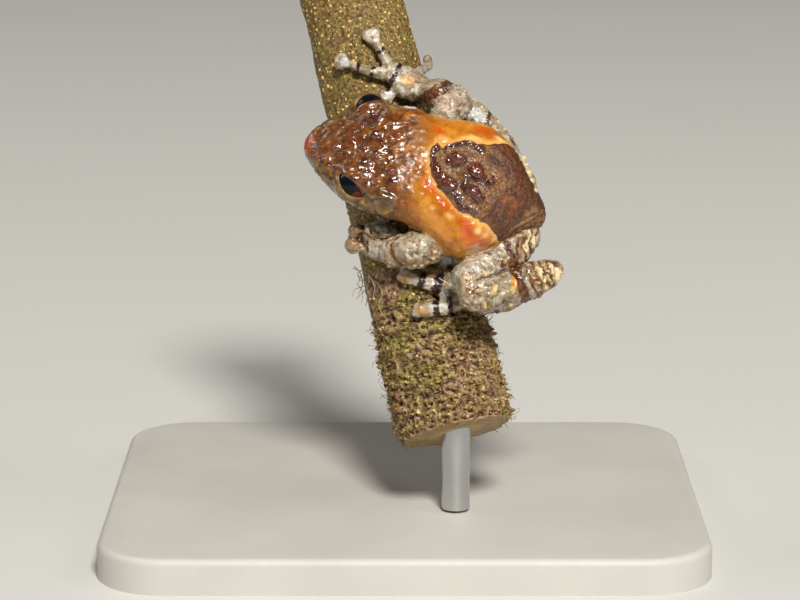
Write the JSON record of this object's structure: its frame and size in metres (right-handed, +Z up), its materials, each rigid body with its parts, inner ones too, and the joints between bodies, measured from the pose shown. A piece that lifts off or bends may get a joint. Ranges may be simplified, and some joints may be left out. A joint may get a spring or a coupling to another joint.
{
  "type": "bush frog display model",
  "caption": "Still, life-size model of a warty bush frog crouched across a cut length of leaning stem, on a plain flat stand with a short rod.",
  "frame": {"origin": "middle of the stand's underside, which is the bottom centre of the whole model", "axes": "+Z up; +Y away from the viewer, into the picture; +X to the viewer's right, the frog's snout pointing towards -X"},
  "size_m": [0.068, 0.06, 0.0707],
  "materials": {
    "skin": "wet, finely wrinkled and warty skin",
    "eye": "polished dark eye",
    "bark": "rough olive-brown bark with pale dots",
    "stand_plate": "plain matt",
    "stand_steel": "brushed"
  },
  "bodies": {
    "root": {"head": "skin", "torso": "skin", "eye_left": "eye", "eye_right": "eye", "upper_arm_left": "skin", "upper_arm_right": "skin", "forearm_left": "skin", "forearm_right": "skin", "hand_left": "skin", "hand_right": "skin", "thigh_left": "skin", "thigh_right": "skin", "shank_left": "skin", "shank_right": "skin", "tarsus_left": "skin", "tarsus_right": "skin", "foot_left": "skin", "foot_right": "skin", "perch_stem": "bark", "stand_base": "stand_plate", "stand_rod": "stand_steel"}
  },
  "joints": []
}
